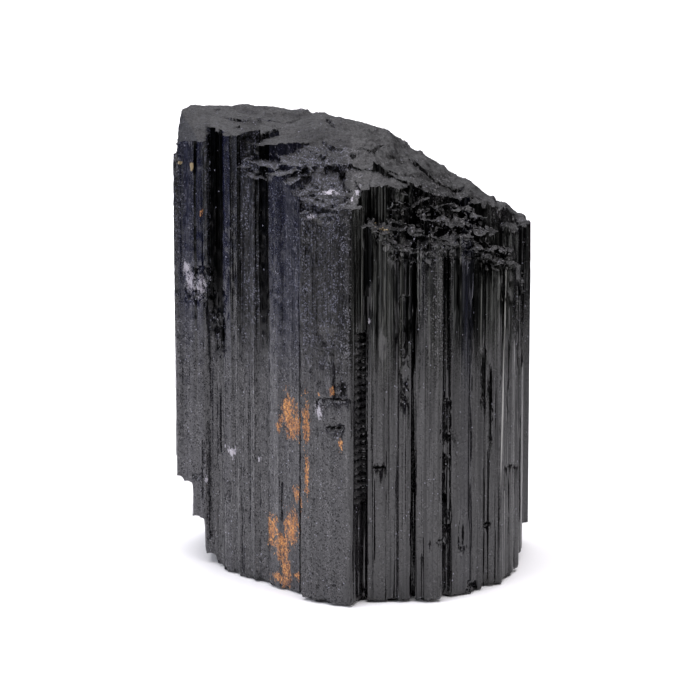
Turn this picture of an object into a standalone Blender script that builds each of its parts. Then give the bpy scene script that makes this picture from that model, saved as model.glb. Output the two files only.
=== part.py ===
"""A short, thick crystal of black tourmaline.

It is many long prisms that grew side by side and joined into one solid. They all run along +Z. The
top is a rough break that falls to the right, the front right is broken lower, and a narrow limb of
longer prisms stands at each side. The origin is the middle of the bottom of the crystal's box.
"""

import math
import random

import bmesh
import bpy
from mathutils import Vector

MM = 0.001

# Driving dimensions, in millimetres.
HALF_WIDTH = 36.0
HALF_DEPTH = 26.0
HEIGHT = 92.4
SKIN = 1.6            # how far the prisms' faces stand out from the core
PRISM_DEPTH = 6.0     # how far each prism reaches into the core
OVERLAP = 0.12        # how far neighbouring prisms share their edges
CHAMFER = 0.35        # the bevel on a prism's two outer edges
MOST_CHAMFER = 0.3    # the widest bevel, as a part of the prism's width
SAME = 0.001          # lengths that differ by less than this are the same
ABOVE = 8.0           # how far a piece stands over the crystal before its top is broken off

# The broken top is made of three planes: each is a point on it and its slope along X and Y. The
# third one is the lower shelf along the front, and the blocks below stand on it.
TOP_PLANES = [
    ((0.0, 0.0, 88.5), (-0.13, -0.09)),
    ((0.0, 0.0, 88.8), (-0.573, -0.03)),
    ((-10.4, -18.0, 82.2), (0.036, 0.243)),
]
HIGH_PLANES = TOP_PLANES[:2]
LOWEST_TOP = 69.6     # no prism on the far walls is broken off below this

# Outlines seen from above, anticlockwise from the front edge.
LOWER_OUTLINE = [
    (-0.3, -26.0), (1.2, -22.0), (3.0, -21.4), (17.8, -21.0), (19.6, -18.6), (24.2, -16.8),
    (26.6, -13.0), (30.2, -11.6), (32.6, -7.6), (34.0, 2.0), (36.0, 9.0), (35.0, 15.0),
    (27.0, 20.0), (14.0, 23.6), (-2.0, 26.0), (-20.0, 23.6), (-34.4, 18.6), (-35.6, 13.4),
    (-35.6, 1.2), (-28.6, -0.2), (-22.2, -6.4), (-16.4, -12.0), (-10.4, -17.8), (-9.6, -21.2),
]
UPPER_OUTLINE = [
    (-0.3, -26.0), (1.0, -23.4), (1.8, -17.4), (11.0, -16.6), (13.4, -9.0), (20.0, -3.0),
    (24.4, 4.6), (28.2, 9.2), (32.4, 10.2), (36.0, 10.6), (35.0, 15.0), (27.0, 20.0),
    (14.0, 23.6), (-2.0, 26.0), (-20.0, 23.6), (-34.2, 18.8), (-34.9, 14.0), (-34.9, 1.3),
    (-28.6, -0.2), (-22.2, -6.4), (-16.4, -12.0), (-10.4, -17.8), (-9.6, -21.2),
]
LOWER_TOP = 72.6
UPPER_ROOT = 20.0     # how far the upper core reaches down into the lower one
HOLLOW_PLANE = ((27.6, 0.0, 66.4), (-1.5, 0.0))     # the floor of the hollow at the front right

# Walls that the named prisms stand on, as (start, end) seen from above.
LEFT_LIMB = ((-35.6, 1.3), (-28.8, -0.4))
LEFT_FACE = ((-28.6, -0.2), (-10.2, -17.9))
FRONT_BLOCK = ((-10.4, -21.3), (-0.2, -26.0))
BACK_WALL = ((1.6, -17.2), (11.4, -16.6))
GROOVE = ((0.6, -21.6), (3.2, -20.6))
FRONT_RIGHT = ((2.6, -22.7), (17.8, -22.3))
RIGHT_BEND = ((17.6, -21.2), (23.8, -17.0))
RIGHT_NOTCH = ((23.6, -16.9), (26.2, -15.0))
RIGHT_BLOCK = ((25.8, -13.2), (30.0, -12.0))
RIGHT_EDGE = ((29.6, -11.0), (33.6, -3.4))
RIGHT_LIMB = ((32.6, 5.4), (36.0, 8.0))
UPPER_BEND = ((24.0, 3.6), (27.4, 8.0))
UPPER_RIGHT = ((27.2, 8.4), (32.6, 9.2))

# The prisms on each wall: where they start and end along X, how far they stand out from the wall,
# how far they are turned to the right in degrees, and the heights of their bottom and top.
NAMED_PRISMS = {
    LEFT_LIMB: [
        (-35.6, -34.0, 0.0, 0, 18.0, 84.5),
        (-34.5, -33.0, -0.4, 6, 18.2, 89.6),
        (-33.1, -31.9, -0.1, -5, 16.2, 89.8),
        (-32.1, -30.8, 0.2, 4, 10.2, 90.0),
        (-30.9, -29.6, 0.5, -4, 9.6, 90.2),
        (-29.8, -28.6, 0.1, 8, 5.0, 90.6),
    ],
    LEFT_FACE: [
        (-28.6, -27.2, -0.5, 14, 2.0, 91.0),
        (-27.3, -25.7, -0.2, 9, 0.4, 91.2),
        (-25.8, -24.1, 1.1, -12, 0.0, 91.6),
        (-24.2, -23.0, 0.9, 4, 0.1, 91.7),
        (-23.1, -22.1, 0.6, -6, 0.2, 91.8),
        (-22.2, -20.2, 1.2, 3, 0.0, 85.6),
        (-20.3, -18.3, 1.1, -5, 0.1, 84.4),
        (-18.4, -16.3, 0.3, 6, 0.0, 84.4),
        (-16.4, -14.8, 1.1, -7, 0.1, 85.8),
        (-14.9, -13.3, 1.1, 2, 0.2, 86.2),
        (-13.4, -11.8, 0.5, 7, 0.1, 84.8),
        (-11.9, -10.2, 0.5, -3, 0.2, 83.2),
    ],
    FRONT_BLOCK: [
        (-10.4, -8.4, 0.0, 4, 0.5, 80.4),
        (-8.5, -6.7, 0.3, -6, 0.2, 79.9),
        (-6.8, -5.0, 0.1, 5, 0.4, 80.3),
        (-5.1, -3.2, 0.4, -3, 0.3, 80.8),
        (-3.3, -1.7, 0.1, 6, 0.2, 82.0),
        (-1.8, -0.2, 0.0, 0, 0.3, 82.6),
    ],
    GROOVE: [
        (0.8, 2.0, 0.1, 10, 0.5, 54.0),
        (1.9, 3.1, 0.3, -12, 0.6, 54.4),
    ],
    FRONT_RIGHT: [
        (1.3, 2.9, 0.2, 5, 56.2, 78.3),
        (2.8, 3.9, 0.2, -6, 0.3, 78.1),
        (3.8, 5.0, 0.5, 3, 0.4, 77.6),
        (4.9, 7.2, 0.4, -4, 0.2, 76.8),
        (7.1, 8.9, 0.1, 5, 0.6, 74.4),
        (8.8, 10.2, 0.4, -7, 0.3, 73.8),
        (10.1, 11.8, 0.3, 4, 0.4, 73.2),
        (12.5, 14.1, 0.3, -5, 0.5, 73.8),
        (14.0, 15.8, 0.6, 2, 0.2, 72.8),
        (15.7, 17.7, 0.5, -3, 0.5, 73.8),
    ],
    RIGHT_BEND: [
        (17.6, 19.5, -1.1, 8, 0.2, 73.0),
        (19.4, 21.2, 0.3, -6, 0.1, 73.6),
        (21.1, 23.7, 0.6, -14, 0.0, 74.6),
    ],
    RIGHT_NOTCH: [
        (23.6, 24.8, 0.3, 10, 0.0, 72.6),
        (24.7, 26.0, 0.3, -8, 0.1, 71.4),
    ],
    RIGHT_BLOCK: [
        (25.8, 27.2, 0.4, -6, 0.0, 68.9),
        (27.1, 28.5, 0.7, 8, 0.1, 68.4),
        (28.4, 30.0, 0.4, -10, 0.0, 67.6),
    ],
    RIGHT_EDGE: [
        (29.7, 30.9, 0.5, 12, 0.1, 67.0),
        (30.8, 31.9, 0.6, -10, 0.0, 66.2),
        (31.8, 32.7, 0.3, 8, 0.2, 65.4),
        (32.6, 33.5, 0.4, -6, 0.6, 64.6),
    ],
    RIGHT_LIMB: [
        (32.7, 34.2, -0.3, 6, 3.4, 58.6),
        (34.1, 36.1, 0.2, -6, 5.8, 69.7),
    ],
    BACK_WALL: [
        (1.7, 3.5, 0.0, 8, 70.0, 84.0),
        (3.4, 5.4, 0.4, -6, 70.4, 84.6),
        (5.3, 7.2, 0.1, 7, 70.2, 84.4),
        (7.1, 9.3, 0.5, -5, 70.6, 83.8),
        (9.2, 11.2, 0.1, 9, 70.3, 82.6),
    ],
    UPPER_BEND: [
        (24.0, 25.8, 0.2, -8, 60.0, 74.5),
        (25.7, 27.4, 0.4, 5, 59.0, 73.5),
    ],
    UPPER_RIGHT: [
        (27.2, 28.9, 0.4, -7, 58.4, 72.6),
        (28.8, 30.7, 0.1, 6, 57.2, 71.6),
        (30.6, 32.7, 0.4, -5, 56.4, 70.5),
    ],
}

# Walls on the far side, where plain prisms stand next to each other: start, end, lowest bottom and
# how far below the broken top they end.
PLAIN_WALLS = [
    ((33.8, -3.2), (34.8, 5.0), 1.2, 8.6),
    ((36.2, 8.2), (35.0, 14.8), 6.0, 0.0),
    ((34.9, 14.9), (27.1, 19.8), 1.5, 0.8),
    ((27.0, 19.9), (14.1, 23.5), 0.4, 0.0),
    ((14.0, 23.6), (-1.9, 25.6), 0.3, 0.0),
    ((-2.0, 25.6), (-19.9, 23.5), 0.3, 0.0),
    ((-20.0, 23.4), (-29.6, 20.6), 1.0, 0.0),
    ((-29.6, 20.6), (-34.2, 18.9), 11.0, 0.0),
    ((-34.4, 18.6), (-35.6, 13.4), 17.0, 8.4),
    ((-35.6, 13.2), (-35.6, 1.6), 18.0, 7.6),
    ((-33.4, 18.8), (-34.8, 13.6), 40.0, 1.9),
    ((-34.8, 13.4), (-34.8, 1.8), 40.0, 1.9),
]
PLAIN_WIDTHS = (1.7, 3.4)
NARROWEST = 0.6              # a gap narrower than this at the end of a wall is left
PLAIN_PROUD = (-0.9, 0.0)    # how far plain prisms stand out from their wall
PLAIN_TURN = (-9.0, 9.0)
PLAIN_TOPS = (-1.3, 0.2)
FOOT_SPREAD = 0.25           # how much more a wall's feet differ the higher it starts

# How far the tops of prisms lean along their width and along their depth.
NAMED_LEAN = ((-0.25, 0.25), (-0.15, 0.2))
PLAIN_LEAN = ((-0.3, 0.3), (-0.2, 0.2))
STUMP_LEAN = ((-0.35, 0.35), (-0.1, 0.3))

# Stumps in the low, broken area at the front right: middle, width, turn and top.
STUMPS = [
    (5.4, -19.4, 3.2, 12, 77.3), (8.6, -18.6, 2.8, -18, 76.6), (10.2, -14.4, 3.2, 24, 74.2),
    (12.8, -17.6, 3.4, 8, 75.4), (14.6, -13.2, 3.0, -12, 77.0), (16.4, -17.4, 3.2, 30, 75.0),
    (13.8, -8.6, 3.6, 15, 79.2), (17.6, -11.0, 3.2, -25, 76.4), (18.2, -7.0, 3.8, 8, 78.2),
    (20.4, -13.4, 3.0, 18, 75.8), (21.2, -9.4, 3.2, -8, 75.4), (21.8, -4.6, 3.8, 26, 76.6),
    (24.2, -11.4, 3.0, 5, 73.6), (24.6, -7.4, 3.2, -20, 72.8), (25.4, -2.6, 3.6, 14, 74.6),
    (27.8, -8.2, 3.4, 10, 69.6), (28.6, -3.8, 3.6, -14, 68.2), (31.2, -3.0, 2.8, 22, 65.2),
    (26.2, 1.8, 3.2, 10, 71.0), (29.2, 0.6, 3.4, -15, 66.6), (28.2, 4.8, 3.0, 25, 68.6),
    (31.4, 1.8, 2.8, 12, 63.2), (30.8, 6.0, 3.0, -8, 63.8), (22.8, 0.4, 3.2, 16, 75.0),
]

# Blocks that stand up from the front shelf: outline seen from above and how far their tops are
# below the two high planes.
BLOCKS = {
    "left_block": ([(-34.7, 1.5), (-28.5, 0.3), (-22.5, -5.6), (-21.4, -4.2), (-18.2, -3.4),
                    (-14.4, 5.5), (-20.0, 12.0), (-34.5, 16.0)], 0.4),
    "middle_plate": ([(-22.6, -4.4), (-20.4, -6.2), (-15.2, -3.4), (-10.4, 1.0), (-6.0, 4.0),
                      (-4.0, 12.0), (-16.0, 12.0), (-21.0, 2.0)], 1.6),
    "low_plate": ([(-22.2, -5.6), (-17.4, -10.4), (-13.8, -10.2), (-13.0, -2.0), (-20.0, -2.0)],
                  5.0),
    "notch_block": ([(-14.3, -9.6), (-8.0, -10.8), (-6.6, -5.0), (-7.0, 3.0), (-14.0, 2.0)], 4.0),
    "right_plate": ([(-9.4, 1.0), (-5.4, -3.6), (-1.6, -6.6), (4.0, -9.0), (8.0, -4.0),
                     (6.0, 8.0), (-8.0, 12.0)], 2.6),
    "ribbed_block": ([(-5.6, -8.4), (-2.2, -9.0), (1.2, -4.0), (-5.0, 1.0)], 3.0),
}
BLOCK_FOOT = 74.0
STUMP_FOOT = 56.6
STUMP_DEPTH = 1.1     # a stump's depth as a part of its width

# Low plates left on the broken top: middle, size, turn and how far they rise above the top planes.
PLATES = [
    (-23.0, 11.0, 11.0, 11.0, 6, 0.4), (-16.4, 19.4, 19.0, 7.4, 8, 1.2),
    (4.0, 14.0, 19.0, 13.0, -14, 0.7), (9.0, -6.0, 11.0, 11.0, -20, 0.5),
    (16.4, 9.8, 14.0, 14.0, 20, 0.7), (27.6, 15.4, 8.0, 6.0, -25, 0.3),
]
PLATE_HEIGHT = 6.0
PLATE_CORNERS = 11
PLATE_TAPER = 0.94              # the size of a plate's top as a part of its bottom
PLATE_REACH = (0.72, 1.08)      # how far a plate's corners reach, as a part of its size
CORNER_SHIFT = 0.25             # keeps a corner's number the same when its angle is rounded

# Where the foot of the crystal is broken away at the left: the right edge, the height and the lean
# of each break in degrees.
FOOT_BREAKS = [(-32.2, 16.8, 3.0), (-29.8, 9.4, -1.0), (-27.4, 1.6, 2.0)]

# The same for the top of the left limb: the lean along Y and the turn about Z.
LIMB_BREAK = (-29.0, 89.0, 7.0, -4.0)
BREAK_SIZE = (30.0, 104.0, 40.0)


def clear_scene():
    """Remove whatever the scene holds."""
    for thing in list(bpy.data.objects):
        bpy.data.objects.remove(thing, do_unlink=True)


def make_collection(name):
    """A new collection in the scene."""
    group = bpy.data.collections.new(name)
    bpy.context.scene.collection.children.link(group)
    return group


def black_tourmaline():
    """Glossy black crystal with a trace of blue."""
    material = bpy.data.materials.new("black_tourmaline")
    material.use_nodes = True
    shader = material.node_tree.nodes["Principled BSDF"]
    shader.inputs["Base Color"].default_value = (0.018, 0.019, 0.024, 1.0)
    shader.inputs["Roughness"].default_value = 0.3
    shader.inputs["Metallic"].default_value = 0.0
    shader.inputs["IOR"].default_value = 1.63
    return material


def top_height(x, y):
    """The height of the broken top over a point."""
    heights = [point[2] + slope[0] * (x - point[0]) + slope[1] * (y - point[1])
               for point, slope in HIGH_PLANES]
    return max(min(heights), LOWEST_TOP)


def add_object(name, mesh_builder, group):
    """Turn a bmesh into an object, given in millimetres, in a collection."""
    bmesh.ops.scale(mesh_builder, vec=(MM, MM, MM), verts=mesh_builder.verts)
    mesh = bpy.data.meshes.new(name)
    mesh_builder.to_mesh(mesh)
    mesh_builder.free()
    thing = bpy.data.objects.new(name, mesh)
    group.objects.link(thing)
    return thing


def extruded_outline(outline, inset, bottom, top):
    """A bmesh of an outline moved in by an inset and raised from bottom to top."""
    builder = bmesh.new()
    corners = []
    for corner in outline:
        point = Vector(corner)
        point -= point.normalized() * inset
        corners.append(builder.verts.new((point.x, point.y, bottom)))
    face = builder.faces.new(corners)
    raised = bmesh.ops.extrude_face_region(builder, geom=[face])
    moved = [part for part in raised["geom"] if isinstance(part, bmesh.types.BMVert)]
    bmesh.ops.translate(builder, vec=(0.0, 0.0, top - bottom), verts=moved)
    bmesh.ops.recalc_face_normals(builder, faces=builder.faces)
    return builder


def cut_by_planes(builder, planes, drop=0.0):
    """Cut a bmesh down to planes of the broken top, moved down by a drop."""
    for point, slope in planes:
        whole = list(builder.verts) + list(builder.edges) + list(builder.faces)
        place = Vector(point) - Vector((0.0, 0.0, drop))
        normal = Vector((-slope[0], -slope[1], 1.0))
        cut = bmesh.ops.bisect_plane(builder, geom=whole, plane_co=place, plane_no=normal,
                                     clear_outer=True)
        edges = [part for part in cut["geom_cut"] if isinstance(part, bmesh.types.BMEdge)]
        if edges:
            bmesh.ops.edgeloop_fill(builder, edges=edges)
    bmesh.ops.recalc_face_normals(builder, faces=builder.faces)


def add_core(name, outline, bottom, top, planes, group):
    """The solid behind the prisms, with its top broken off by planes."""
    builder = extruded_outline(outline, SKIN, bottom, top)
    cut_by_planes(builder, planes)
    return add_object(name, builder, group)


def add_blocks(group):
    """The blocks and plates that stand up from the shelf along the front of the top."""
    for name, (outline, drop) in BLOCKS.items():
        builder = extruded_outline(outline, 0.0, BLOCK_FOOT, HEIGHT + ABOVE)
        cut_by_planes(builder, HIGH_PLANES, drop)
        add_object(name, builder, group)


def add_prism(name, middle, width, depth, turn, bottom, top, lean, group):
    """One upright prism: its outer face is at the middle point, its outer edges are bevelled and its
    top leans along the width and the depth."""
    builder = bmesh.new()
    bmesh.ops.create_cube(builder, size=1.0)
    bmesh.ops.scale(builder, vec=(width, depth, top - bottom), verts=builder.verts)
    bmesh.ops.translate(builder, vec=(0.0, depth / 2, (top + bottom) / 2), verts=builder.verts)
    outer = [edge for edge in builder.edges
             if all(abs(vert.co.y) < SAME for vert in edge.verts)
             and abs(edge.verts[0].co.z - edge.verts[1].co.z) > SAME]
    bmesh.ops.bevel(builder, geom=outer, offset=min(CHAMFER, width * MOST_CHAMFER), segments=1,
                    affect="EDGES")
    for vert in builder.verts:
        if vert.co.z > (top + bottom) / 2:
            vert.co.z += lean[0] * vert.co.x - lean[1] * vert.co.y
    thing = add_object(name, builder, group)
    thing.location = (middle[0] * MM, middle[1] * MM, 0.0)
    thing.rotation_euler.z = math.radians(turn)
    return thing


def wall_angle(start, end):
    """The direction of a wall, in degrees from +X."""
    return math.degrees(math.atan2(end[1] - start[1], end[0] - start[0]))


def add_named_prisms(group, chance):
    """The prisms on the front walls, which each have their own place and height."""
    for number, (wall, prisms) in enumerate(NAMED_PRISMS.items()):
        (start_x, start_y), (end_x, end_y) = wall
        angle = wall_angle(*wall)
        stretch = 1.0 / math.cos(math.radians(angle))
        for left, right, proud, turn, bottom, top in prisms:
            x = (left + right) / 2
            y = start_y + (end_y - start_y) * (x - start_x) / (end_x - start_x)
            out = math.radians(angle - 90.0)
            middle = (x + proud * math.cos(out), y + proud * math.sin(out))
            width = (right - left) * stretch + 2 * OVERLAP
            lean = [chance.uniform(*limits) for limits in NAMED_LEAN]
            name = f"prism_{number}_{left:.1f}"
            add_prism(name, middle, width, PRISM_DEPTH, angle + turn, bottom, top, lean, group)


def add_plain_prisms(group, chance):
    """Prisms of many widths side by side along the far walls."""
    for number, (start, end, low, drop) in enumerate(PLAIN_WALLS):
        length = math.dist(start, end)
        angle = wall_angle(start, end)
        done = 0.0
        while done < length - NARROWEST:
            width = min(chance.uniform(*PLAIN_WIDTHS), length - done)
            along = (done + width / 2) / length
            x = start[0] + (end[0] - start[0]) * along
            y = start[1] + (end[1] - start[1]) * along
            out = math.radians(angle - 90.0)
            proud = chance.uniform(*PLAIN_PROUD)
            middle = (x + proud * math.cos(out), y + proud * math.sin(out))
            turn = angle + chance.uniform(*PLAIN_TURN)
            bottom = low + chance.uniform(0.0, 1.0 + low * FOOT_SPREAD)
            top = top_height(x, y) - drop + chance.uniform(*PLAIN_TOPS)
            lean = [chance.uniform(*limits) for limits in PLAIN_LEAN]
            add_prism(f"plain_{number}_{done:.1f}", middle, width + 2 * OVERLAP, PRISM_DEPTH,
                      turn, bottom, top, lean, group)
            done += width


def add_stumps(group, chance):
    """Broken prisms that show their tops at the front right."""
    for number, (x, y, width, turn, top) in enumerate(STUMPS):
        lean = [chance.uniform(*limits) for limits in STUMP_LEAN]
        add_prism(f"stump_{number}", (x, y - width / 2), width, width * STUMP_DEPTH, turn,
                  STUMP_FOOT, top, lean, group)


def add_plates(group, chance):
    """Low plates of the broken top, which lean as the top does and have ragged outlines."""
    for number, (x, y, width, depth, turn, rise) in enumerate(PLATES):
        builder = bmesh.new()
        bmesh.ops.create_cone(builder, cap_ends=True, segments=PLATE_CORNERS, radius1=0.5,
                              radius2=0.5 * PLATE_TAPER, depth=1.0)
        bmesh.ops.scale(builder, vec=(width, depth, PLATE_HEIGHT), verts=builder.verts)
        angle = math.radians(turn)
        reach = [chance.uniform(*PLATE_REACH) for corner in range(PLATE_CORNERS)]
        for vert in builder.verts:
            corner = int(math.atan2(vert.co.y / depth, vert.co.x / width) / math.tau
                         * PLATE_CORNERS + PLATE_CORNERS + CORNER_SHIFT) % PLATE_CORNERS
            vert.co.x *= reach[corner]
            vert.co.y *= reach[corner]
            across = vert.co.x * math.cos(angle) - vert.co.y * math.sin(angle) + x
            along = vert.co.x * math.sin(angle) + vert.co.y * math.cos(angle) + y
            lift = top_height(across, along) + rise - PLATE_HEIGHT / 2
            vert.co = Vector((across, along, vert.co.z + lift))
        add_object(f"plate_{number}", builder, group)


def hide_piece(thing):
    """Show a piece that only shapes the crystal as wires, and leave it out of the result."""
    thing.hide_render = True
    thing.display_type = "WIRE"


def join_pieces(core, pieces):
    """Join every hidden piece to the core in one solid."""
    for thing in pieces.objects:
        hide_piece(thing)
    union = core.modifiers.new("join_prisms", "BOOLEAN")
    union.operation = "UNION"
    union.operand_type = "COLLECTION"
    union.collection = pieces
    union.solver = "EXACT"


def break_off(crystal, name, place, side, leans, group):
    """Break away what is to the left of a place and, with side -1, below it or, with 1, above it."""
    builder = bmesh.new()
    bmesh.ops.create_cube(builder, size=1.0)
    bmesh.ops.scale(builder, vec=BREAK_SIZE, verts=builder.verts)
    bmesh.ops.translate(builder, vec=(-BREAK_SIZE[0] / 2, 0.0, side * BREAK_SIZE[2] / 2),
                        verts=builder.verts)
    cutter = add_object(name, builder, group)
    cutter.location = (place[0] * MM, 0.0, place[1] * MM)
    cutter.rotation_euler = [math.radians(lean) for lean in leans]
    hide_piece(cutter)
    cut = crystal.modifiers.new(name, "BOOLEAN")
    cut.operation = "DIFFERENCE"
    cut.object = cutter
    cut.solver = "EXACT"


def break_left_side(crystal, group):
    """Break the foot of the crystal away in steps at the left, and the top of the left limb."""
    for number, (edge, height, lean) in enumerate(FOOT_BREAKS):
        break_off(crystal, f"foot_break_{number}", (edge, height), -1, (-lean, lean, -lean), group)
    edge, height, lean, turn = LIMB_BREAK
    break_off(crystal, "limb_break", (edge, height), 1, (lean, 0.0, turn), group)


def trim_to_box(crystal, group):
    """Cut the solid to the crystal's box, so that its widest prisms end flat on it."""
    builder = bmesh.new()
    bmesh.ops.create_cube(builder, size=1.0)
    bmesh.ops.scale(builder, vec=(2 * HALF_WIDTH, 2 * HALF_DEPTH, HEIGHT), verts=builder.verts)
    bmesh.ops.translate(builder, vec=(0.0, 0.0, HEIGHT / 2), verts=builder.verts)
    box = add_object("box", builder, group)
    hide_piece(box)
    trim = crystal.modifiers.new("trim_to_box", "BOOLEAN")
    trim.operation = "INTERSECT"
    trim.object = box
    trim.solver = "EXACT"


def main():
    """Build the crystal."""
    clear_scene()
    chance = random.Random(7)
    parts = make_collection("tourmaline_crystal")
    pieces = make_collection("prisms")
    cutters = make_collection("cutters")
    crystal = add_core("crystal", LOWER_OUTLINE, 0.0, LOWER_TOP, TOP_PLANES + [HOLLOW_PLANE], parts)
    crystal.data.materials.append(black_tourmaline())
    add_core("upper_core", UPPER_OUTLINE, LOWER_TOP - UPPER_ROOT, HEIGHT + ABOVE, TOP_PLANES, pieces)
    add_named_prisms(pieces, chance)
    add_plain_prisms(pieces, chance)
    add_stumps(pieces, chance)
    add_blocks(pieces)
    add_plates(pieces, chance)
    join_pieces(crystal, pieces)
    break_left_side(crystal, cutters)
    trim_to_box(crystal, cutters)


main()
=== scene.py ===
"""The finished look of a black tourmaline crystal: striated prisms, a rough break and stains."""
import itertools
import math
import random

import bpy
import numpy as np
from mathutils import Euler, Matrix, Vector
from mathutils.bvhtree import BVHTree


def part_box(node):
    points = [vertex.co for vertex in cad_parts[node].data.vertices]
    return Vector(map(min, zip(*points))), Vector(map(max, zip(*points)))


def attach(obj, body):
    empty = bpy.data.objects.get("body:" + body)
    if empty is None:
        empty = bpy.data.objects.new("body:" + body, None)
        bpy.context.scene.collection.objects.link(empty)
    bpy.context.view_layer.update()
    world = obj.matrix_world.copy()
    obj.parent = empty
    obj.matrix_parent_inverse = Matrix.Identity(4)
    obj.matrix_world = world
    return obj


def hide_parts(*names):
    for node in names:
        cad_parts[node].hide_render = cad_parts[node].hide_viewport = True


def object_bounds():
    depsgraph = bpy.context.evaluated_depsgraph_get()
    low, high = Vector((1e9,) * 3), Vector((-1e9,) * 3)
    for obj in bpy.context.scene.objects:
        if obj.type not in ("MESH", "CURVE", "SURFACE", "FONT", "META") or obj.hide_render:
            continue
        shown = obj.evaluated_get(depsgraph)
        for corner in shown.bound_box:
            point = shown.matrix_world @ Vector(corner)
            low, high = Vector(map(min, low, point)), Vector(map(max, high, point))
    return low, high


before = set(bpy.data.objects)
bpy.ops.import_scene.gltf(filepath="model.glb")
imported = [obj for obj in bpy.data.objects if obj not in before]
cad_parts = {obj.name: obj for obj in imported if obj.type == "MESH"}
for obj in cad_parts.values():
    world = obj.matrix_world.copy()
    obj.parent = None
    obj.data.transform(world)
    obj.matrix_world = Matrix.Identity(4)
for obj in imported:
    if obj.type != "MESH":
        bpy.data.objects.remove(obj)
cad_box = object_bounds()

MM = 0.001

# The view: the crystal is seen from the front, from a little above. Places in the view are
# counted in steps, across and down from its top left corner.
VIEW_TARGET = Vector((-0.4, -1.0, 45.7)) * MM
VIEW_ELEVATION = math.radians(18.0)
VIEW_DISTANCE = 1.2
VIEW_HALF_WIDTH = 0.07
VIEW_BACK = Vector((0.0, -math.cos(VIEW_ELEVATION), math.sin(VIEW_ELEVATION)))
VIEW_UP = Vector((0.0, math.sin(VIEW_ELEVATION), math.cos(VIEW_ELEVATION)))
HALF_VIEW = 350.0      # steps from the middle of the view to its edge
AXIS_ACROSS = 352.0    # where the crystal's own middle lies across the view
STEP = 0.2             # a step at the crystal in millimetres
STEP_UP = 0.21         # a step down the view, measured up the crystal's walls
FLATTENING = 0.309     # how tall a level square looks in the view, if it is one wide
SENSOR = 36.0

# Whole numbers that mix a cell and a seed.
AXIS_MIXERS = (668265263, 2246822519, 3266489917)
SEED_MIXER = 374761393
MIX_START = 1013904223
LAST_MIXER = 2654435761
LAST_32_BITS = 0xFFFFFFFF

# The net of the surface.
VOXEL = 0.2 * MM
STRETCH = 1.6          # how much taller than wide the net's faces are
MOST_TRIANGLES = 196000
SHARP_EDGE = math.radians(16.0)

# The lowest heights of the broken top, its loose parts and its bevelled corner, in millimetres.
TOP_BOTTOM = 54.0
LOOSE_BOTTOM = 70.0
BEVEL_BOTTOM = 80.0
# The bevelled corner lies left of an X. Its height falls along X and Y.
BEVEL_LEFT_OF = -30.0
BEVEL_SLOPE = (0.35, 0.19)
BEVEL_HEIGHT = 99.97

# Cracks in the broken top: places in the view, width and depth in millimetres.
CRACKS = [
    ([(241, 139), (250, 136), (262, 136), (270, 133), (280, 129)], 0.35, 0.6),
    ([(240, 118), (260, 121), (290, 123), (300, 119)], 0.35, 0.5),
    ([(324, 145), (333, 151), (341, 150)], 0.5, 1.0),
    ([(328, 125), (333, 128)], 0.5, 0.8),
    ([(341, 166), (342, 184), (349, 190)], 0.6, 1.4),
    ([(327, 208), (338, 203), (349, 196)], 0.6, 1.0),
    ([(295, 193), (303, 186)], 0.5, 0.8),
    ([(320, 222), (345, 215)], 0.4, 0.8),
    ([(360, 150), (372, 153), (384, 151)], 0.5, 0.8),
    ([(366, 168), (380, 172), (396, 170)], 0.6, 1.0),
    ([(390, 160), (402, 165)], 0.5, 0.8),
]

# Lumps on the back rim of the top: place across, rise and width in millimetres.
BACK_LUMPS = [
    (-33.5, 1.4, 4.5), (-25.0, 0.5, 5.0), (-6.5, 1.1, 2.8), (7.6, 1.1, 1.7), (15.0, 0.6, 1.8),
    (23.6, 0.9, 1.7), (31.0, 1.0, 1.2),
]

# The rubble at the front right and the slope at the left: over which steps of the view each begins
# and ends across, and then down.
RUBBLE_AREA = ((372, 380), (512, 518), (200, 206), (264, 272))
SLOPE_AREA = ((236, 242), (356, 362), (146, 152), (222, 228))

# Heaps of grains on the break: left, top, right and bottom in the view, number of grains, smallest
# and largest radius in millimetres, and seed.
GRAIN_HEAPS = [
    ((390, 206, 476, 262), 220, (0.4, 1.0), 5), ((372, 226, 392, 240), 14, (0.4, 0.8), 6),
    ((244, 152, 345, 176), 60, (0.4, 1.0), 7), ((300, 185, 350, 222), 40, (0.4, 1.0), 8),
]

# Upright prisms on the sides: width, depth of their steps, lean of their faces and seed.
STRIATIONS = [(1.9, 0.16, 0.10, 51), (0.8, 0.14, 0.30, 61), (0.42, 0.05, 0.30, 71)]
GAP_DEPTH = 0.13
FOOT_DEPTH = 0.45

# Grooves down the sides: place across the view, top and bottom in the view, width in the view and
# depth in millimetres.
GROOVES = [
    (195, 143, 172, 1.6, 0.4), (203, 440, 497, 1.6, 0.35), (217, 470, 530, 1.2, 0.18),
    (221, 340, 452, 2.2, 0.4), (229, 483, 500, 1.6, 0.3), (231, 134, 240, 1.4, 0.3),
    (242, 200, 420, 1.4, 0.22), (248, 400, 520, 1.4, 0.3), (282, 483, 520, 1.5, 0.3),
    (301, 430, 590, 1.3, 0.2), (352, 440, 600, 2.0, 0.5), (364, 250, 590, 1.8, 0.4),
    (375, 480, 560, 1.4, 0.3), (386, 400, 600, 1.6, 0.25), (395, 330, 598, 1.6, 0.2),
    (413, 250, 600, 3.2, 0.7), (422, 540, 600, 1.6, 0.3), (449, 400, 596, 2.4, 0.4),
    (471, 300, 590, 1.8, 0.4), (483, 470, 587, 1.8, 0.25), (491, 365, 440, 2.2, 0.4),
    (509, 270, 575, 1.8, 0.4), (520, 252, 520, 1.6, 0.3),
]

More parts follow.
